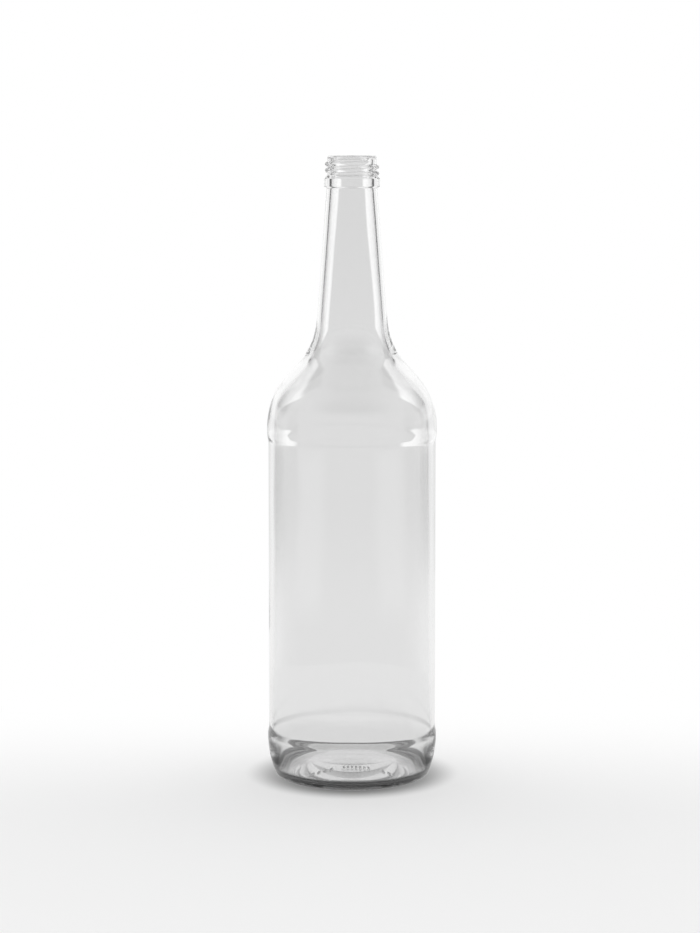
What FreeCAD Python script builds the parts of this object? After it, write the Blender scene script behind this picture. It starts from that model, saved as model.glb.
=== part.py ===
"""Clear glass bottle for one litre, with a straight tapered neck and a 28 mm screw finish.

The glass is one solid: a profile turned about the +Z axis, plus the screw thread of the finish.
It stands on z = 0. All sizes are in millimetres and degrees, and all angles lean from the axis.
"""

import FreeCAD, Part
import math
import os

# Whole bottle
HEIGHT = 315.0              # standing ring to lip
BODY_D = 86.0               # over the two contact bands

# Foot
FOOT_TUCK = 4.05            # from the body wall in to where the heel's slope would meet the table
FOOT_ROUND = 2.0            # radius between the standing ring and the heel
STANDING_RING_W = 5.15      # flat ring that the bottle stands on, with its outer round
HEEL_CORNER_Z = 10.3        # where the heel's slope would meet the body wall
HEEL_ROUND = 51.0           # radius of the heel
PUNT_H = 4.6                # push-up of the underside at the axis

# Body
LOWER_BAND_TOP = 21.5       # upper edge of the lower contact band
PANEL_RECESS = 0.6          # label panel below the bands, on the radius
LOWER_BLEND = 3.0           # height of the slope from the panel to the lower band
UPPER_BLEND = 2.8           # height of the slope from the panel to the upper band
UPPER_BAND_H = 3.9          # plain height of the upper band
BLEND_ROUND = 3.0           # radius where the lower slope meets the panel and the band
UPPER_BLEND_ROUND = 6.0     # the same at the upper slope

# Shoulder and neck
SHOULDER_Z = 178.1          # where the body wall starts to turn in
SHOULDER_ROUND = 39.5       # outer radius of the shoulder
SHOULDER_SLOPE = 43.4       # lean of the steepest stretch
NECK_CURVE = 34.6           # outer radius between shoulder and neck
NECK_TAPER = 4.4            # lean of the neck
NECK_TOP_D = 25.5           # neck just under the bead

# Finish
FINISH_D = 24.9             # over the wall behind the thread
FINISH_WALL = 2.15          # from that wall in to the mouth
BEAD_D = 28.1               # bead that carriers and cap rings catch under
BEAD_BOTTOM_BELOW_LIP = 15.8
BEAD_SIDE_H = 4.2           # straight side of the bead
BEAD_CHAMFER_H = 1.8        # slope from the bead's side in to the finish wall
BEAD_ROUND = 0.5            # radius of the bead's edges
LIP_ROUND_OUT = 1.1
LIP_ROUND_IN = 0.9
THREAD_D = 27.4             # over the crests
THREAD_PITCH = 3.2          # right-hand
THREAD_TOP_BELOW_LIP = 3.2  # middle of the ridge at its upper end; it runs down to the bead
THREAD_START = 250.0        # bearing of the ridge's lower end, counter-clockwise from +X

# Glass thickness
WALL_NECK = 2.35
WALL_SHOULDER = 4.5         # across the shoulder's slope
WALL_TOP = 4.4              # at the top of the body wall
WALL_FOOT = 2.4             # at the foot of the body wall, where the inside starts to lean in
MOUTH_ROUND = 25.0          # inside, between the mouth and the neck
THROAT_RISE = 3.5           # from the outer neck's foot up to where the inside starts to flare
THROAT_LEAN = 22.0          # lean of the inner flare
THROAT_ROUND = 45.0
INNER_CORNER_ROUND = 14.0   # inside, where the flare meets the shoulder's slope
INNER_SHOULDER_ROUND = 28.0
INNER_HEEL_Z = 17.5         # height where the inside starts to lean in
INNER_HEEL_ROUND = 40.0
VALLEY_Z = 2.8              # ring round the floor's dome, the lowest glass inside
VALLEY_OUT_W = 5.6          # from the outside of the body in to the ring's outer edge
VALLEY_IN_W = 9.5           # and to its inner edge
VALLEY_OUT_ROUND = 2.5
VALLEY_IN_ROUND = 6.0
FLOOR_RIM_W = 11.5          # and to where the floor's dome starts
FLOOR_EDGE_Z = 3.36         # height of the dome's edge
FLOOR_CROWN_Z = 10.0        # inner floor at the axis


SHORTEST_EDGE = 1e-6        # sides that their rounds use up leave no edge


def heading(lean):
    """Unit direction down and outward in the (radius, height) plane, leaning from the axis."""
    return math.sin(math.radians(lean)), -math.cos(math.radians(lean))


def meet(point_a, lean_a, point_b, lean_b):
    """Crossing of two lines in the (radius, height) plane, each given by a point and its lean."""
    ax, az = heading(lean_a)
    bx, bz = heading(lean_b)
    dx, dz = point_b[0] - point_a[0], point_b[1] - point_a[1]
    along = (dx * bz - dz * bx) / (ax * bz - az * bx)
    return point_a[0] + along * ax, point_a[1] + along * az


def at(point):
    """The (radius, height) point as a vector in the XZ plane."""
    return FreeCAD.Vector(point[0], 0, point[1])


def setbacks(corners):
    """How far each corner's round reaches along its two sides, limited by the sides' lengths."""
    reach = []
    for before, here, after in zip(corners, corners[1:], corners[2:]):
        turn = (at(here) - at(before)).getAngle(at(after) - at(here))
        reach.append(here[2] * math.tan(turn / 2))
    reach = [0.0] + reach + [0.0]
    room = [(at(b) - at(a)).Length for a, b in zip(corners, corners[1:])]
    spare = [min(1.0, side / max(reach[i] + reach[i + 1], side)) for i, side in enumerate(room)]
    limit = [1.0] + [min(pair) for pair in zip(spare, spare[1:])] + [1.0]
    return [length * share for length, share in zip(reach, limit)]


def rounded_path(corners):
    """Lines through (radius, height, round) corners, with a tangent arc at each rounded corner."""
    edges = []
    cursor = at(corners[0])
    for before, here, after, reach in zip(corners, corners[1:], corners[2:], setbacks(corners)[1:]):
        inward = (at(before) - at(here)).normalize()
        onward = (at(after) - at(here)).normalize()
        start, end = at(here) + inward * reach, at(here) + onward * reach
        if (start - cursor).Length > SHORTEST_EDGE:
            edges.append(Part.LineSegment(cursor, start).toShape())
        if reach > 0:
            half = inward.getAngle(onward) / 2
            centre = at(here) + (inward + onward).normalize() * (reach / math.cos(half))
            middle = centre + (at(here) - centre).normalize() * (reach * math.tan(half))
            edges.append(Part.Arc(start, middle, end).toShape())
        cursor = end
    last = at(corners[-1])
    if (last - cursor).Length > SHORTEST_EDGE:
        edges.append(Part.LineSegment(cursor, last).toShape())
    return edges


def dome_edge(crown_z, edge_r, edge_z):
    """Arc from the axis, level there, to the point (edge_r, edge_z)."""
    sag = crown_z - edge_z
    radius = (edge_r ** 2 + sag ** 2) / (2 * sag)
    half = math.asin(edge_r / radius) / 2
    middle = radius * math.sin(half), crown_z - radius * (1 - math.cos(half))
    return Part.Arc(at((0, crown_z)), at(middle), at((edge_r, edge_z))).toShape()


def shoulder_corner():
    """Where the shoulder's slope would meet the body wall, outside."""
    half_slope = math.radians(SHOULDER_SLOPE / 2)
    return BODY_D / 2, SHOULDER_Z + SHOULDER_ROUND * math.tan(half_slope)


def neck_top():
    """Top of the neck's taper, outside, under the bead."""
    return NECK_TOP_D / 2, HEIGHT - BEAD_BOTTOM_BELOW_LIP


def neck_foot():
    """Where the neck's taper would meet the shoulder's slope, outside."""
    return meet(shoulder_corner(), SHOULDER_SLOPE, neck_top(), NECK_TAPER)


def bead_top_z():
    """Height where the bead's chamfer runs into the finish wall."""
    return HEIGHT - BEAD_BOTTOM_BELOW_LIP + BEAD_SIDE_H + BEAD_CHAMFER_H


def outer_corners():
    """Outside of the glass, from the standing ring up to the lip."""
    body_r = BODY_D / 2
    panel_r = body_r - PANEL_RECESS
    foot_r = body_r - FOOT_TUCK
    bead_z = HEIGHT - BEAD_BOTTOM_BELOW_LIP
    band_bottom = SHOULDER_Z - UPPER_BAND_H
    return [
        (foot_r - STANDING_RING_W, 0, 0),
        (foot_r, 0, FOOT_ROUND),
        (body_r, HEEL_CORNER_Z, HEEL_ROUND),
        (body_r, LOWER_BAND_TOP, BLEND_ROUND),
        (panel_r, LOWER_BAND_TOP + LOWER_BLEND, BLEND_ROUND),
        (panel_r, band_bottom - UPPER_BLEND, UPPER_BLEND_ROUND),
        (body_r, band_bottom, UPPER_BLEND_ROUND),
        (*shoulder_corner(), SHOULDER_ROUND),
        (*neck_foot(), NECK_CURVE),
        (*neck_top(), BEAD_ROUND),
        (BEAD_D / 2, bead_z, BEAD_ROUND),
        (BEAD_D / 2, bead_z + BEAD_SIDE_H, BEAD_ROUND),
        (FINISH_D / 2, bead_top_z(), BEAD_ROUND),
        (FINISH_D / 2, HEIGHT, LIP_ROUND_OUT),
    ]


def inner_corners():
    """Inside of the glass, from the lip down to the edge of the floor's dome."""
    bore_r = FINISH_D / 2 - FINISH_WALL
    top_r, top_z = neck_top()
    neck_inside = top_r - WALL_NECK / math.cos(math.radians(NECK_TAPER)), top_z
    throat = meet(neck_inside, NECK_TAPER, (0, neck_foot()[1] + THROAT_RISE), 90)
    slope = math.radians(SHOULDER_SLOPE)
    corner_r, corner_z = shoulder_corner()
    on_slope = corner_r - WALL_SHOULDER * math.cos(slope), corner_z - WALL_SHOULDER * math.sin(slope)
    wall_top = BODY_D / 2 - WALL_TOP, SHOULDER_Z
    wall_foot = BODY_D / 2 - WALL_FOOT, INNER_HEEL_Z
    wall_lean = math.degrees(math.atan((wall_foot[0] - wall_top[0]) / (SHOULDER_Z - INNER_HEEL_Z)))
    return [
        (bore_r, HEIGHT, LIP_ROUND_IN),
        (*meet((bore_r, HEIGHT), 0, neck_inside, NECK_TAPER), MOUTH_ROUND),
        (*throat, THROAT_ROUND),
        (*meet(throat, THROAT_LEAN, on_slope, SHOULDER_SLOPE), INNER_CORNER_ROUND),
        (*meet(wall_top, wall_lean, on_slope, SHOULDER_SLOPE), INNER_SHOULDER_ROUND),
        (*wall_foot, INNER_HEEL_ROUND),
        (BODY_D / 2 - VALLEY_OUT_W, VALLEY_Z, VALLEY_OUT_ROUND),
        (BODY_D / 2 - VALLEY_IN_W, VALLEY_Z, VALLEY_IN_ROUND),
        (BODY_D / 2 - FLOOR_RIM_W, FLOOR_EDGE_Z, 0),
    ]


def turned_glass():
    """The bottle without its thread: the profile turned once about the axis."""
    corners = outer_corners() + inner_corners()
    foot, floor = corners[0], corners[-1]
    edges = [dome_edge(PUNT_H, foot[0], foot[1])]
    edges += rounded_path(corners)
    edges.append(dome_edge(FLOOR_CROWN_Z, floor[0], floor[1]))
    edges.append(Part.LineSegment(at((0, FLOOR_CROWN_Z)), at((0, PUNT_H))).toShape())
    section = Part.Face(Part.Wire(Part.__sortEdges__(edges)))
    return section.revolve(FreeCAD.Vector(), FreeCAD.Vector(0, 0, 1), 360)


def thread_ridge():
    """Right-hand ridge of round section wound about the finish wall, with a ball at each end."""
    radius = FINISH_D / 2
    section_r = (THREAD_D - FINISH_D) / 2
    rise = HEIGHT - THREAD_TOP_BELOW_LIP - bead_top_z()
    helix = Part.makeHelix(THREAD_PITCH, rise, radius)
    start = FreeCAD.Vector(radius, 0, 0)
    tangent = FreeCAD.Vector(0, 2 * math.pi * radius, THREAD_PITCH)
    section = Part.Wire(Part.makeCircle(section_r, start, tangent))
    ridge = Part.Wire(helix.Edges).makePipeShell([section], True, True)
    turned = 2 * math.pi * rise / THREAD_PITCH
    end = FreeCAD.Vector(radius * math.cos(turned), radius * math.sin(turned), rise)
    ridge = ridge.fuse([Part.makeSphere(section_r, start), Part.makeSphere(section_r, end)])
    ridge.rotate(FreeCAD.Vector(), FreeCAD.Vector(0, 0, 1), THREAD_START)
    ridge.translate(FreeCAD.Vector(0, 0, bead_top_z()))
    return ridge


def bottle():
    glass = turned_glass().fuse(thread_ridge()).removeSplitter()
    return glass.Solids[0]


os.makedirs("parts", exist_ok=True)
solid = bottle()
solid.exportStep("parts/bottle.step")
print("valid", solid.isValid(), "glass cm3", round(solid.Volume / 1000, 1))
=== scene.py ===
# %% [markdown]
# # A clear glass bottle
#
# The real thing is one piece of blown glass: a finish with a screw thread and a bead, a straight
# tapered neck, a round shoulder, a shallow label panel between two contact bands, a heel, a
# stippled standing ring and a pushed-up base.  Glass has hardly any colour of its own, so what
# makes it look like glass is the exact shape of its two walls and what stands around it.  The
# lesson builds the walls as one closed surface from numpy arrays, then the glass, then the studio.

# %% The fixed frame
import math
import bpy
import numpy as np
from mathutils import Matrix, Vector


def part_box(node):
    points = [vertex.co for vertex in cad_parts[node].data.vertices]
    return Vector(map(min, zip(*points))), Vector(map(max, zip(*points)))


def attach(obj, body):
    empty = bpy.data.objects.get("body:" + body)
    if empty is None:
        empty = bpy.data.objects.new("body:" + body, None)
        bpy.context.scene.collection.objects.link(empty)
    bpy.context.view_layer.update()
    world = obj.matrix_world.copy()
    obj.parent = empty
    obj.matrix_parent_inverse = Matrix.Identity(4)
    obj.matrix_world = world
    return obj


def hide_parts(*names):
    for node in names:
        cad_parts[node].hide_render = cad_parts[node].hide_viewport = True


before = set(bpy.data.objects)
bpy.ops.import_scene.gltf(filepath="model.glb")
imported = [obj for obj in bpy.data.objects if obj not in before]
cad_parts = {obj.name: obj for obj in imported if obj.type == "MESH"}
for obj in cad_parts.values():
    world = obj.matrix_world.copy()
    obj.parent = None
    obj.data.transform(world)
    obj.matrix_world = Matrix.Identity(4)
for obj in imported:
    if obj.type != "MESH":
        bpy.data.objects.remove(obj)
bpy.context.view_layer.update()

low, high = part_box("bottle")
print("bottle box in mm", [round(1000 * v, 1) for v in (*low, *high)])

# %% [markdown]
# ## Sizes
#
# Overall height and width come from the frame.  The other sizes belong to the real bottle, so
# they are written here in metres, through MM.  A lean is an angle from the axis, in degrees.

# %% Sizes of the glass
MM = 0.001
HEIGHT = high.z
BODY_R = round((high.x - low.x) / 2, 4)
PANEL_R = BODY_R - 0.6 * MM
FINISH_R = 12.45 * MM
CREST_R = 13.7 * MM
BEAD_R = 14.05 * MM
NECK_TOP_R = 12.75 * MM
BORE_R = 10.3 * MM
BEAD_LOW = HEIGHT - 15.8 * MM
BEAD_HIGH = BEAD_LOW + 6.0 * MM
SHOULDER_Z = 178.1 * MM
SHOULDER_ROUND = 39.5 * MM
SLOPE = 43.4
TAPER = 4.4
print("height", HEIGHT, "body radius", BODY_R)


# %% [markdown]
# ## A profile of lines and rounds
#
# A bottle mould is turned, so its section is drawn as a draughtsman would: straight lines
# through corners, each corner with its own round.  Curves or subdivision could do it too, but
# arcs between tangents keep the true radii, and glass shows every change of curvature.

# %% Corners, lines and arcs
def heading(lean):
    """Unit direction down and outward in the (radius, height) plane."""
    return np.array([math.sin(math.radians(lean)), -math.cos(math.radians(lean))])


def meet(point_a, lean_a, point_b, lean_b):
    """Crossing of two leaning lines: a + s * heading(a) = b + t * heading(b)."""
    sides = np.column_stack([heading(lean_a), -heading(lean_b)])
    along = np.linalg.solve(sides, np.subtract(point_b, point_a))
    return tuple(np.add(point_a, along[0] * heading(lean_a)))


def rounded(corners, step=0.05 * MM):
    """Points along lines through (radius, height, round) corners, with a tangent arc at each.

    At a corner that turns by angle a, the arc of radius R leaves the line R * tan(a / 2)
    before the corner, and its points are centre + R * (cos, sin) of evenly spaced angles."""
    points = [np.array([corners[0][:2]])]
    for before, here, after in zip(corners, corners[1:], corners[2:]):
        corner = np.array(here[:2])
        back = np.subtract(before[:2], corner)
        onward = np.subtract(after[:2], corner)
        back, onward = back / np.linalg.norm(back), onward / np.linalg.norm(onward)
        half = math.acos(np.clip(back @ onward, -1, 1)) / 2
        if here[2] == 0:
            points.append(corner[None])
            continue
        reach = here[2] / math.tan(half)
        middle = (back + onward) / np.linalg.norm(back + onward)
        centre = corner + middle * (here[2] / math.sin(half))
        start = corner + back * reach - centre
        turn = (math.pi - 2 * half) * np.sign(start[1] * back[0] - start[0] * back[1])
        count = max(3, int(abs(turn) * here[2] / step))
        angle = math.atan2(start[1], start[0]) + np.linspace(0, turn, count)
        points.append(centre + here[2] * np.column_stack([np.cos(angle), np.sin(angle)]))
    points.append(np.array([corners[-1][:2]]))
    return np.vstack(points)


sample = rounded([(0, 0), (0.02, 0, 0.01), (0.02, 0.02)])
print("points in a right angle with a 10 mm round", len(sample))

# %% [markdown]
# ## The outside
#
# The outside is the mould's own shape, from the standing ring up to the lip.  The two contact
# bands stand a little proud, so that bottles on a belt rub there and not on the label.

# %% Outside profile
PUNT_H = 4.6 * MM
FOOT_R = BODY_R - 4.05 * MM
RING_IN_R = FOOT_R - 5.15 * MM
PUNT_DOME = (RING_IN_R ** 2 + PUNT_H ** 2) / (2 * PUNT_H)
shoulder = (BODY_R, SHOULDER_Z + SHOULDER_ROUND * math.tan(math.radians(SLOPE / 2)))
neck_foot = meet(shoulder, SLOPE, (NECK_TOP_R, BEAD_LOW), TAPER)
outside = rounded([
    (RING_IN_R, 0, 0),
    (FOOT_R, 0, 2 * MM),
    (BODY_R, 10.3 * MM, 51 * MM),
    (BODY_R, 21.5 * MM, 3 * MM),
    (PANEL_R, 24.5 * MM, 3 * MM),
    (PANEL_R, SHOULDER_Z - 6.7 * MM, 6 * MM),
    (BODY_R, SHOULDER_Z - 3.9 * MM, 6 * MM),
    (*shoulder, SHOULDER_ROUND),
    (*neck_foot, 34.6 * MM),
    (NECK_TOP_R, BEAD_LOW, 0.5 * MM),
    (BEAD_R, BEAD_LOW, 0.5 * MM),
    (BEAD_R, BEAD_LOW + 4.2 * MM, 0.5 * MM),
    (FINISH_R, BEAD_HIGH, 0.5 * MM),
    (FINISH_R, HEIGHT, 1.1 * MM),
    (BORE_R + 1.1 * MM, HEIGHT, 0)])
print("outside points", len(outside))

# %% [markdown]
# ## The inside
#
# The inside is what the blown air left: thick at the shoulder, thin at the foot of the wall, with
# a tight turn where the neck opens and a valley round the pushed-up floor.  It could be the
# outside moved inward, but a profile of its own is truer, because the gap between the two is
# what bends the light.

# %% Inside profile
WALL_TOP = 4.4 * MM
WALL_SLOPE = 4.5 * MM
WALL_NECK = 2.36 * MM
KINK_R, KINK_Z = 40.6 * MM, 17.5 * MM
THROAT_LEAN = 22
VALLEY_OUT_R = 37.4 * MM
VALLEY_IN_R = 33.5 * MM
VALLEY_Z = 2.8 * MM
FLOOR_CROWN = 10 * MM
FLOOR_DOME = 78 * MM
FLOOR_EDGE_R = 31.5 * MM
slope_in = np.subtract(shoulder, WALL_SLOPE * np.array([math.cos(math.radians(SLOPE)),
                                                        math.sin(math.radians(SLOPE))]))
neck_in = (NECK_TOP_R - WALL_NECK, BEAD_LOW)
throat = meet(neck_in, TAPER, (0, neck_foot[1] + 3.5 * MM), 90)
wall_in = (BODY_R - WALL_TOP, SHOULDER_Z)
wall_lean = math.degrees(math.atan((KINK_R - wall_in[0]) / (SHOULDER_Z - KINK_Z)))
floor_edge = (FLOOR_EDGE_R, FLOOR_CROWN - FLOOR_DOME
              + math.sqrt(FLOOR_DOME ** 2 - FLOOR_EDGE_R ** 2))
inside = rounded([
    (BORE_R + 1.1 * MM, HEIGHT, 0),
    (BORE_R, HEIGHT, 0.9 * MM),
    (*meet((BORE_R, HEIGHT), 0, neck_in, TAPER), 25 * MM),
    (*throat, 45 * MM),
    (*meet(throat, THROAT_LEAN, slope_in, SLOPE), 14 * MM),
    (*meet(wall_in, wall_lean, slope_in, SLOPE), 28 * MM),
    (KINK_R, KINK_Z, 40 * MM),
    (VALLEY_OUT_R, VALLEY_Z, 2.5 * MM),
    (VALLEY_IN_R, VALLEY_Z, 6 * MM),
    (*floor_edge, 0)])
print("inside points", len(inside))


# %% [markdown]
# ## Rows where the shape needs them
#
# A grid spends its rows evenly unless told otherwise.  The thread, the bead and the heel need
# rows a fraction of a millimetre apart, and the plain wall does with rows far apart, so the
# profile is walked with a step that depends on the place.

# %% Walking a profile
FINE_TOP = 9.5 * MM
MARKS_IN_R, MARKS_OUT_R = 15.5 * MM, 25 * MM


def walk(points, step_at):
    """Rows along a profile, spaced by step_at(radius, height) metres.

    The count of rows up to a point is the integral of 1 / step along the profile's length,
    and the rows are where that count passes each whole number."""
    length = np.hypot(*np.diff(points, axis=0).T)
    station = np.concatenate([[0], np.cumsum(length)])
    fine = np.linspace(0, station[-1], 20000)
    path = np.column_stack([np.interp(fine, station, points[:, k]) for k in (0, 1)])
    count = np.concatenate([[0], np.cumsum(np.diff(fine) / step_at(path[1:, 0], path[1:, 1]))])
    rows = np.linspace(0, count[-1], max(2, int(round(count[-1])) + 1))
    return np.column_stack([np.interp(rows, count, path[:, k]) for k in (0, 1)])


def dome(crown, radius, edge_r, count):
    """Rows of a dome from near the axis out: height = crown - (R - sqrt(R^2 - r^2))."""
    r = np.linspace(edge_r / count, edge_r, count)
    return np.column_stack([r, crown - radius + np.sqrt(radius ** 2 - r ** 2)])


def outer_step(r, z):
    """Row spacing outside: fine on the finish and foot, wide on the plain wall."""
    step = np.where(z > BEAD_LOW - 2 * MM, 0.27, 8.0)
    step = np.where((z > SHOULDER_Z - 10 * MM) & (z < BEAD_LOW - 2 * MM), 2.5, step)
    step = np.where((z < 27 * MM) | (abs(z - SHOULDER_Z + 7.5 * MM) < 3 * MM), 0.7, step)
    return step * MM


def inner_step(r, z):
    """Row spacing inside."""
    step = np.where(z > BEAD_LOW - 2 * MM, 1.5, 8.0)
    step = np.where((z > SHOULDER_Z - 5 * MM) & (z < BEAD_LOW - 2 * MM), 2.5, step)
    step = np.where(z < 22 * MM, 1.2, step)
    return np.where(z < 5 * MM, 0.7, step) * MM


under = dome(PUNT_H, PUNT_DOME, RING_IN_R, 76)
under_plain = under[under[:, 0] < MARKS_IN_R][::5]
under_marks = under[(under[:, 0] >= MARKS_IN_R) & (under[:, 0] < MARKS_OUT_R)]
under_rim = under[under[:, 0] >= MARKS_OUT_R][::-3][::-1]
under_fine = np.vstack([under_marks, under_rim])
out_rows = walk(outside, outer_step)
foot_rows = out_rows[out_rows[:, 1] < FINE_TOP][1:]
wall_rows = out_rows[out_rows[:, 1] >= FINE_TOP]
in_rows = walk(inside, inner_step)[1:]
floor_rows = dome(FLOOR_CROWN, FLOOR_DOME, FLOOR_EDGE_R, 16)[::-1][1:]
parts = (under_plain, under_fine, foot_rows, wall_rows, in_rows, floor_rows)
print("rows", [len(rows) for rows in parts])

# %% [markdown]
# ## The thread
#
# The real thread is one ridge, wound right-handed about two turns, that fades into the wall at
# both ends.  A ridge swept along a helix and joined on would leave a seam inside the glass, so
# the wall itself is pushed out where the ridge passes.

# %% Thread height at an angle and a height
PITCH = 3.2 * MM
THREAD_LOW = BEAD_HIGH - 0.2 * MM
THREAD_HIGH = HEIGHT - 3.2 * MM
THREAD_BEARING = math.radians(250)
RIDGE_H = CREST_R - FINISH_R
RIDGE_W = 1.25 * MM


def smooth(low_edge, high_edge, value):
    """Smooth step: 3t^2 - 2t^3 of the value's place between the edges."""
    t = np.clip((value - low_edge) / (high_edge - low_edge), 0, 1)
    return t * t * (3 - 2 * t)


def thread(theta, z):
    """How far the ridge lifts the wall at angle theta and height z.

    The helix passes heights low + pitch * (theta - start) / 2pi, once for each turn.  The
    lift is a rounded bump of the distance to the nearest pass, and it fades at both ends."""
    turns = (theta - THREAD_BEARING) / (2 * math.pi)
    lift = np.zeros(np.broadcast(theta, z).shape)
    for turn in range(-1, 4):
        passing = turns + turn
        off = (z - THREAD_LOW - PITCH * passing) / RIDGE_W
        bump = np.sqrt(np.clip(1 - off ** 2, 0, 1)) ** 1.3
        last = (THREAD_HIGH - THREAD_LOW) / PITCH
        fade = smooth(-0.12, 0.08, passing) * (1 - smooth(last - 0.1, last + 0.08, passing))
        lift = np.maximum(lift, bump * fade)
    return lift * RIDGE_H


print("turns of thread", round((THREAD_HIGH - THREAD_LOW) / PITCH, 2))

# %% [markdown]
# ## Blown walls are never even
#
# Blown glass is a little thicker on one side, and its inside rolls gently.  A perfect tube of
# glass looks like plastic, so the inside wall is shifted sideways and given long soft waves.
# The foot carries a stipple that keeps the hot bottle off the belt, and the mould leaves small
# dots and bars on the heel and base.

# %% Unevenness, stipple and mould marks
def wander(theta, z):
    """Soft waves of the inside wall: a few sines of angle and height with unlike periods."""
    wave = 0.20 * np.cos(theta - math.pi) - 0.1
    wave = wave + 0.10 * np.sin(2 * theta + 40 * z + 1.0) * np.sin(31 * z + 0.6)
    wave = wave + 0.05 * np.sin(3 * theta - 55 * z + 2.1) + 0.03 * np.sin(5 * theta + 120 * z)
    return wave * MM


def stipple(theta, r):
    """Small pimples in staggered rings on the standing ring: product of two cosines."""
    ring = (r - RING_IN_R) / (1.3 * MM)
    bump = np.cos(math.pi * ring) * np.cos(96 * theta + math.pi * np.floor(ring))
    return 0.12 * MM * np.clip(bump, 0, 1)


def bars(across, along, centres, half_widths, half_height):
    """Raised bars: a soft box of each bar's width and height, and the highest of them wins."""
    lift = np.zeros(np.broadcast(across, along).shape)
    tall = 1 - smooth(half_height - 0.3 * MM, half_height + 0.3 * MM, abs(along))
    for centre, width in zip(centres, half_widths):
        side = 1 - smooth((width - 0.2) * MM, (width + 0.2) * MM, abs(across - centre * MM))
        lift = np.maximum(lift, side * tall)
    return lift


HEEL_BARS = [-36, -33.4, -31.8, -30.2, -27, -24.6, -22, 24.5, 27, 31.5, 34]
HEEL_WIDTHS = [0.6, 0.35, 0.35, 0.35, 0.6, 0.35, 0.5, 0.35, 0.35, 0.35, 0.5]
BASE_DOTS = [-19, -16, -13, -10, 15, 18]
BASE_BARS = [-4, -2, 0, 2, 4, 6, 8]
HEEL_MARKS_Z = 5.4 * MM
BASE_MARKS_Y = -17.5 * MM
print("marks on the heel and base", len(HEEL_BARS), len(BASE_DOTS) + len(BASE_BARS))

# %% [markdown]
# ## One closed surface
#
# Each row becomes a ring of vertices.  The foot has four times as many columns as the wall,
# so that the stipple and the marks have vertices to stand on, and a ring of seven-sided faces
# joins the two.  The surface runs from the middle of the base, up the outside, over the lip,
# down the inside to the middle of the floor, so it is closed and has an inside and an outside.

# %% Rings of vertices
COLUMNS = 192
FINE = 4 * COLUMNS
OUT, IN = 1, -1


def ring_points(rows, columns, side):
    """Vertices of rows x columns: (r cos t, r sin t, z), lifted or waved by the functions."""
    theta = np.arange(columns) * 2 * math.pi / columns
    r = np.repeat(rows[:, :1], columns, axis=1)
    z = np.repeat(rows[:, 1:], columns, axis=1)
    t = np.repeat(theta[None], len(rows), axis=0)
    if side == OUT:
        outer = (z > BEAD_LOW + 4 * MM) & (r > BORE_R + 2 * MM)
        r = np.where(outer, np.maximum(r, np.minimum(r, FINISH_R) + thread(t, z)), r)
    else:
        fade = smooth(12 * MM, 40 * MM, z) * (1 - 0.8 * smooth(0.2, 0.24, z))
        r = r + wander(t, z) * fade
    return np.stack([r * np.cos(t), r * np.sin(t), z], axis=-1)


def foot_points(rows):
    """The finely divided foot, with its stipple and mould marks."""
    theta = np.arange(FINE) * 2 * math.pi / FINE
    r = np.repeat(rows[:, :1], FINE, axis=1)
    z = np.repeat(rows[:, 1:], FINE, axis=1)
    t = np.repeat(theta[None], len(rows), axis=0)
    standing = smooth(RING_IN_R - 0.5 * MM, RING_IN_R + 0.5 * MM, r) * (1 - smooth(0, 2.2 * MM, z))
    z = z + stipple(t, r) * standing
    x, y = r * np.cos(t), r * np.sin(t)
    outer = (r > FOOT_R) & (z > 1.5 * MM)
    heel = bars(r * (math.pi / 2 - t), z - HEEL_MARKS_Z, HEEL_BARS, HEEL_WIDTHS, 1.3 * MM)
    r = r + 0.3 * MM * heel * outer
    across = y - BASE_MARKS_Y
    base = np.maximum(bars(x, across, BASE_DOTS, [0.6] * len(BASE_DOTS), 0.6 * MM),
                      bars(x, across, BASE_BARS, [0.4] * len(BASE_BARS), 1.1 * MM))
    z = z - 0.35 * MM * base * (r < MARKS_OUT_R + 1 * MM)
    return np.stack([r * np.cos(t), r * np.sin(t), z], axis=-1)


def quads(first, rows, columns):
    """Faces between successive rings of equal size, closed round the axis."""
    i = np.arange(rows - 1)[:, None] * columns + first
    j = np.arange(columns)[None]
    k = (j + 1) % columns
    return np.stack([i + j, i + k, i + k + columns, i + j + columns], axis=-1).reshape(-1, 4)


def widening(coarse, fine):
    """Seven-sided faces from a coarse ring below to a ring four times as fine above."""
    j = np.arange(COLUMNS)
    k = (j + 1) % COLUMNS
    steps = [fine + (4 * j + n) % FINE for n in (4, 3, 2, 1, 0)]
    return np.stack([coarse + j, coarse + k, *steps], axis=-1)


def narrowing(fine, coarse):
    """Seven-sided faces from a fine ring below to a coarse ring above."""
    j = np.arange(COLUMNS)
    k = (j + 1) % COLUMNS
    steps = [fine + (4 * j + n) % FINE for n in (0, 1, 2, 3, 4)]
    return np.stack([*steps, coarse + k, coarse + j], axis=-1)


def cap(pole, ring, columns, flip):
    """Triangles from a pole to its ring."""
    j = np.arange(columns)
    k = (j + 1) % columns
    pair = (ring + k, ring + j) if flip else (ring + j, ring + k)
    return np.stack([np.full(columns, pole), *pair], axis=-1)


print("columns", COLUMNS, "and", FINE, "in the foot")

# %% [markdown]
# ## The bottle's mesh
#
# The rings are stacked into one array of vertices and handed over with all the faces at once.
# Two shells with a rim between them would do too, but one closed surface can have no gap.

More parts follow.
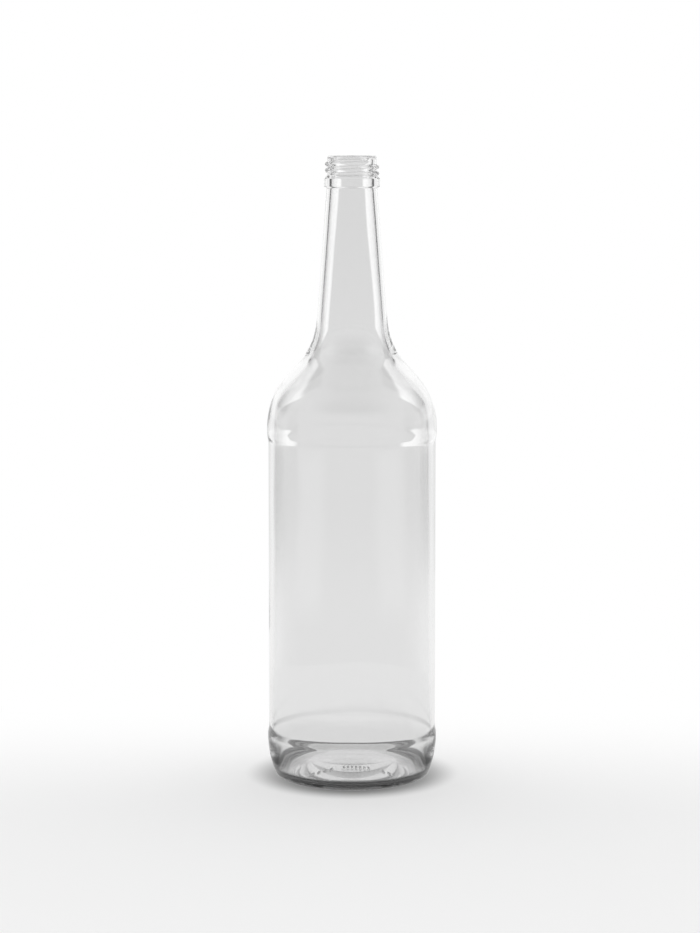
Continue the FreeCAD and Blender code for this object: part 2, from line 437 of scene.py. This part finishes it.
# %% The bottle's mesh
def bottle_mesh():
    """Stacks the rings and the faces that join them into one closed mesh."""
    a = ring_points(under_plain, COLUMNS, OUT).reshape(-1, 3)
    b = foot_points(np.vstack([under_fine, foot_rows])).reshape(-1, 3)
    c = ring_points(wall_rows, COLUMNS, OUT).reshape(-1, 3)
    d = ring_points(np.vstack([in_rows, floor_rows]), COLUMNS, IN).reshape(-1, 3)
    ends = np.array([[0, 0, PUNT_H], [0, 0, FLOOR_CROWN]])
    rows_a, rows_b = len(a) // COLUMNS, len(b) // FINE
    upper = np.vstack([c, d])
    rows_c = len(upper) // COLUMNS
    at_a, at_b, at_c = 2, 2 + len(a), 2 + len(a) + len(b)
    faces = []
    faces += cap(0, at_a, COLUMNS, True).tolist()
    faces += quads(at_a, rows_a, COLUMNS).tolist()
    faces += widening(at_b - COLUMNS, at_b).tolist()
    faces += quads(at_b, rows_b, FINE).tolist()
    faces += narrowing(at_c - FINE, at_c).tolist()
    faces += quads(at_c, rows_c, COLUMNS).tolist()
    faces += cap(1, at_c + (rows_c - 1) * COLUMNS, COLUMNS, False).tolist()
    mesh = bpy.data.meshes.new("bottle_glass")
    mesh.from_pydata(np.vstack([ends, a, b, upper]), [], faces)
    mesh.polygons.foreach_set("use_smooth", np.ones(len(mesh.polygons), bool))
    mesh.validate()
    mesh.update()
    return mesh


bottle = bpy.data.objects.new("bottle_glass", bottle_mesh())
bpy.context.scene.collection.objects.link(bottle)
triangles = sum(len(p.vertices) - 2 for p in bottle.data.polygons)
print("triangles", triangles, "box", [round(v * 1000, 2) for v in bottle.dimensions])


# %% [markdown]
# ## Writing shaders as expressions
#
# A node tree is a formula drawn with wires.  A small class lets the formula be written as one
# line of Python, and each operator adds its Math node.

# %% Expressions on sockets
class Wire:
    """An output socket in a Tree; arithmetic on it adds Math nodes."""

    def __init__(self, tree, socket):
        self.tree, self.socket = tree, socket

    def math(self, operation, *values):
        return self.tree.node("ShaderNodeMath", {"operation": operation}, dict(enumerate(values)))

    def __add__(self, other):
        return self.math("ADD", self, other)

    def __sub__(self, other):
        return self.math("SUBTRACT", self, other)

    def __rsub__(self, other):
        return self.math("SUBTRACT", other, self)

    def __mul__(self, other):
        return self.math("MULTIPLY", self, other)

    def __truediv__(self, other):
        return self.math("DIVIDE", self, other)

    def __rtruediv__(self, other):
        return self.math("DIVIDE", other, self)

    __radd__ = __add__
    __rmul__ = __mul__

    def __abs__(self):
        return self.math("ABSOLUTE", self)

    def larger(self, other):
        """The larger of the two values."""
        return self.math("MAXIMUM", self, other)

    def between(self, low_edge, high_edge):
        """0 below the low edge, 1 above the high edge, smooth between."""
        return self.tree.node("ShaderNodeMapRange", {"interpolation_type": "SMOOTHSTEP"},
                              {"Value": self, "From Min": low_edge, "From Max": high_edge})


class Tree:
    """The node tree of a material or a world, emptied."""

    def __init__(self, owner):
        owner.use_nodes = True
        self.tree = owner.node_tree
        self.tree.nodes.clear()

    def node(self, kind, settings=None, inputs=None, output=0):
        """Any node: its settings, then its inputs as values or Wires; gives one output."""
        made = self.tree.nodes.new(kind)
        for name, value in (settings or {}).items():
            setattr(made, name, value)
        for name, value in (inputs or {}).items():
            if isinstance(value, Wire):
                self.tree.links.new(value.socket, made.inputs[name])
            else:
                made.inputs[name].default_value = value
        return Wire(self, made.outputs[output]) if len(made.outputs) else None

    def place(self, coordinates="Object"):
        """The x, y and z of the point that is shaded."""
        point = self.node("ShaderNodeTexCoord", output=coordinates)
        return [self.node("ShaderNodeSeparateXYZ", inputs={0: point}, output=n) for n in range(3)]

    def tone(self, level):
        """A neutral colour: black mixed with white by the level."""
        black, white = (0, 0, 0, 1), (1, 1, 1, 1)
        return self.node("ShaderNodeMix", {"data_type": "RGBA"},
                         {0: level, 6: black, 7: white}, output=2)

    def bent(self):
        """1 for light that came through the glass or off it, 0 for light straight to the eye."""
        through = self.node("ShaderNodeLightPath", output="Is Transmission Ray")
        return through.larger(self.node("ShaderNodeLightPath", output="Is Glossy Ray"))


def new_material(name):
    """A new material and its empty tree."""
    material = bpy.data.materials.new(name)
    return material, Tree(material)


def distance(x, y):
    """Distance from the bottle's axis."""
    return x.math("SQRT", x * x + y * y)


print("operators on wires: + - * / abs, with a number on either side")

# %% [markdown]
# ## Clear glass
#
# Flint glass bends light by about 1.52 and is all but colourless; a wall takes away a few
# hundredths of the light.  Transmission in the main shader does both.  The foot of a real bottle
# looks dark, because light runs a long way in its thick glass.  An absorbing volume would be
# truer, but a surface shader is what can be carried to other programs, so two narrow rings of
# painted shade in the base colour, on the standing ring and low on the heel, stand in for it.

# %% The glass
WALL_CLEAR = 0.93
# Strengths of the painted shade in the two rings on the foot.
RING_PAINTED_SHADE = 0.75
HEEL_PAINTED_SHADE = 0.94


def glass_material():
    """Clear glass: the base colour is the light that one wall lets through, darkened by painted
    shade in two rings on the foot.
    """
    material, tree = new_material("clear_flint_glass")
    x, y, z = tree.place()
    r = distance(x, y)
    # Painted shade: a ring on the standing ring and a band low on the heel darken the base colour.
    ring = r.between(0.0335, 0.0355) * (1 - z.between(0.001, 0.0045))
    heel = r.between(0.0385, 0.0392) * z.between(0.0010, 0.0020) * (1 - z.between(0.0048, 0.0062))
    clear = WALL_CLEAR * (1 - RING_PAINTED_SHADE * ring) * (1 - HEEL_PAINTED_SHADE * heel)
    glass = tree.node("ShaderNodeBsdfPrincipled", {},
                      {"Base Color": tree.tone(clear), "Roughness": 0.0, "IOR": 1.52,
                       "Transmission Weight": 1.0})
    tree.node("ShaderNodeOutputMaterial", {}, {"Surface": glass})
    return material


bottle.data.materials.append(glass_material())
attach(bottle, "root")
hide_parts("bottle")
print("glass nodes", len(bottle.data.materials[0].node_tree.nodes))

# %% [markdown]
# ## The studio round the glass
#
# Clear glass is drawn by what stands behind it.  In a studio a grey card stands behind the
# bottle, cut to the bottle's own outline but wider, in front of a bright sweep.  The middle
# of the glass shows the card, the flanks bend the view past its edges to the bright sweep, and
# black flags at the sides draw a thin dark line inside each wall.  All of it is one curved
# backdrop here, seen only through and in the glass.

# %% The sweep with its grey card and flags
SWEEP_R = 0.28
SWEEP_TOP = 0.80


def curved_backdrop():
    """A half round wall behind the bottle: (R sin a, R cos a, z) for a from -80 to 80 degrees."""
    a = np.radians(np.linspace(-80, 80, 81))[None]
    z = np.linspace(0.001, SWEEP_TOP, 9)[:, None]
    points = np.stack(np.broadcast_arrays(SWEEP_R * np.sin(a), SWEEP_R * np.cos(a), z), axis=-1)
    j = np.arange(80)[None] + 81 * np.arange(8)[:, None]
    faces = np.stack([j, j + 1, j + 82, j + 81], axis=-1).reshape(-1, 4)
    mesh = bpy.data.meshes.new("sweep")
    mesh.from_pydata(points.reshape(-1, 3), [], faces.tolist())
    return mesh


def backdrop_material():
    """Light by bearing and height: grey card, bright sweep, black flags."""
    material, tree = new_material("lit_sweep")
    x, y, z = tree.place()
    bearing = abs(x.math("ARCTAN2", x, y)) * (180 / math.pi)
    # The card: 1 inside its half width, which is less behind the neck.
    half = 30.0 - 19.0 * z.between(0.138, 0.192) - 2.5 * z.between(0.22, 0.29)
    soft = 4.0 - 2.8 * z.between(0.13, 0.18)
    card = 1 - ((bearing - half) / soft).between(-1.0, 1.0)
    # Its grey: darker upward, with a soft lighter band on either side.
    grey = 0.85 - 0.04 * z.between(0.03, 0.11) - 0.05 * z.between(0.15, 0.30)
    band = bearing.between(3.5, 6.0) * (1 - bearing.between(8.5, 12.0))
    grey = grey + 0.04 * band * z.between(0.02, 0.05) * (1 - z.between(0.125, 0.15))
    grey = grey + 0.07 * bearing.between(8.0, 20.0) * (1 - z.between(0.03, 0.10))
    # The bright sweep past the card, and the black flags at its ends.
    high = z.between(0.135, 0.15)
    bright = 1.10 + 0.09 * high - 0.18 * bearing.between(14.0, 26.0)
    dark = 0.48 - 0.23 * high + 0.70 * z.between(0.20, 0.235)
    flags = bearing.between(43.0, 54.0) * z.between(0.03, 0.13)
    level = (card * grey + (1 - card) * bright) * (1 - dark * flags)
    light = tree.node("ShaderNodeEmission", {}, {"Color": (1, 1, 1, 1), "Strength": level})
    tree.node("ShaderNodeOutputMaterial", {}, {"Surface": light})
    return material


sweep = bpy.data.objects.new("sweep", curved_backdrop())
bpy.context.scene.collection.objects.link(sweep)
sweep.data.materials.append(backdrop_material())
sweep.visible_camera = sweep.visible_diffuse = sweep.visible_shadow = False


print("sweep faces", len(sweep.data.polygons))

# %% [markdown]
# ## The light
#
# A white room lights the bottle evenly from all sides, as large soft boxes do.  Lamps would
# draw hard spots on the glass.  The glass itself meets a somewhat dimmer room, and a dark patch
# high behind the camera, where a studio is often unlit.

# %% World
def studio_world():
    """Plain white all round, dimmer for glass, with a dark patch high behind the camera."""
    world = bpy.data.worlds.new("studio")
    bpy.context.scene.world = world
    tree = Tree(world)
    x, y, z = tree.place("Generated")
    behind = (1 - y.between(-0.9, -0.2)) * z.between(0.30, 0.55)
    strength = 1 - (0.08 + 0.80 * behind) * tree.bent()
    room = tree.node("ShaderNodeBackground", {}, {"Color": (1, 1, 1, 1), "Strength": strength})
    tree.node("ShaderNodeOutputWorld", {}, {"Surface": room})
    return world


print("world nodes", len(studio_world().node_tree.nodes))

# %% [markdown]
# ## The floor
#
# The floor is a matt pale sweep.  Close to the bottle it is a real diffuse surface, so it keeps
# the bottle's shadow, and further back it turns into plain white, as an overlit sweep does.  A
# painted shadow darkens its colour right round the foot, which deepens the soft contact shadow,
# and painted shade in darker patches beside the foot, seen only by light bent by the glass,
# draws the dark wedges in the heel.

# %% Floor
FLOOR_REACH = 1.6
FLOOR_RINGS, FLOOR_COLUMNS = 23, 96


def floor_disc():
    """A disc of rings about the bottle: (r cos t, r sin t, 0)."""
    r = np.linspace(0, FLOOR_REACH, FLOOR_RINGS + 1)[1:, None]
    t = np.arange(FLOOR_COLUMNS) * 2 * math.pi / FLOOR_COLUMNS
    points = np.stack(np.broadcast_arrays(r * np.cos(t), r * np.sin(t), 0.0), axis=-1)
    faces = quads(1, FLOOR_RINGS, FLOOR_COLUMNS).tolist()
    faces += cap(0, 1, FLOOR_COLUMNS, False).tolist()
    mesh = bpy.data.meshes.new("floor")
    mesh.from_pydata(np.vstack([[[0, 0, 0]], points.reshape(-1, 3)]), [], faces)
    return mesh


def floor_material():
    """Matt and in the bottle's shade close by, with painted shade round the foot, plain white
    light far behind.
    """
    material, tree = new_material("pale_floor")
    x, y, z = tree.place()
    away = distance(x, y)
    bent = tree.bent()
    # Painted shadow: the floor's colour goes dark right round the foot.
    grey = 0.90 * (1 - 0.9 * (1 - away.between(0.036, 0.056)))
    matt = tree.node("ShaderNodeBsdfDiffuse", {}, {"Color": tree.tone(grey)})
    # Painted shade: how much darker than white the floor is for bent light: less far off, more at
    # the sides.
    shade = 0.24 - 0.12 * away.between(0.085, 0.125)
    shade = shade + 0.08 * (1 - away.between(0.042, 0.058))
    # Painted shade: darker patches on either side of the foot, seen only by bent light.
    aside_shade = abs(x).between(0.042, 0.052) * (1 - y.between(0.030, 0.045))
    shade = shade + 0.65 * aside_shade * (1 - away.between(0.062, 0.080))
    white = tree.node("ShaderNodeEmission", {},
                      {"Color": (1, 1, 1, 1), "Strength": 1 - shade * bent})
    lit = y.between(-0.10, 0.14).larger(bent * away.between(0.034, 0.037))
    mix = tree.node("ShaderNodeMixShader", {}, {0: lit, 1: matt, 2: white})
    tree.node("ShaderNodeOutputMaterial", {}, {"Surface": mix})
    return material


floor = bpy.data.objects.new("floor", floor_disc())
bpy.context.scene.collection.objects.link(floor)
floor.data.materials.append(floor_material())
print("floor faces", len(floor.data.polygons))

# %% [markdown]
# ## The camera
#
# The camera stands at the height of the lip, a little over a metre away, so the lip is seen edge
# on and the foot from above.  It looks down by five degrees, and the lens is shifted for the
# rest, which keeps the sides of the bottle upright.

# %% Camera
EYE = (0, -1.22, HEIGHT)
PITCH_DOWN = math.radians(4.92)
camera_data = bpy.data.cameras.new("camera")
camera_data.lens = 93.38
camera_data.sensor_width = 36
camera_data.sensor_fit = "VERTICAL"
camera_data.sensor_height = 36
camera_data.shift_y = -0.11
camera_data.shift_x = -0.0022
camera = bpy.data.objects.new("camera", camera_data)
bpy.context.scene.collection.objects.link(camera)
camera.location = EYE
camera.rotation_euler = (math.pi / 2 - PITCH_DOWN, 0, 0)
scene = bpy.context.scene
scene.camera = camera
scene.view_settings.view_transform = "Standard"
# Light inside thick glass bounces many times before it leaves, so the paths may be long.
scene.cycles.max_bounces = 32
scene.cycles.glossy_bounces = 24
scene.cycles.transmission_bounces = 24
print("camera at", EYE, "lens", round(camera_data.lens, 2))
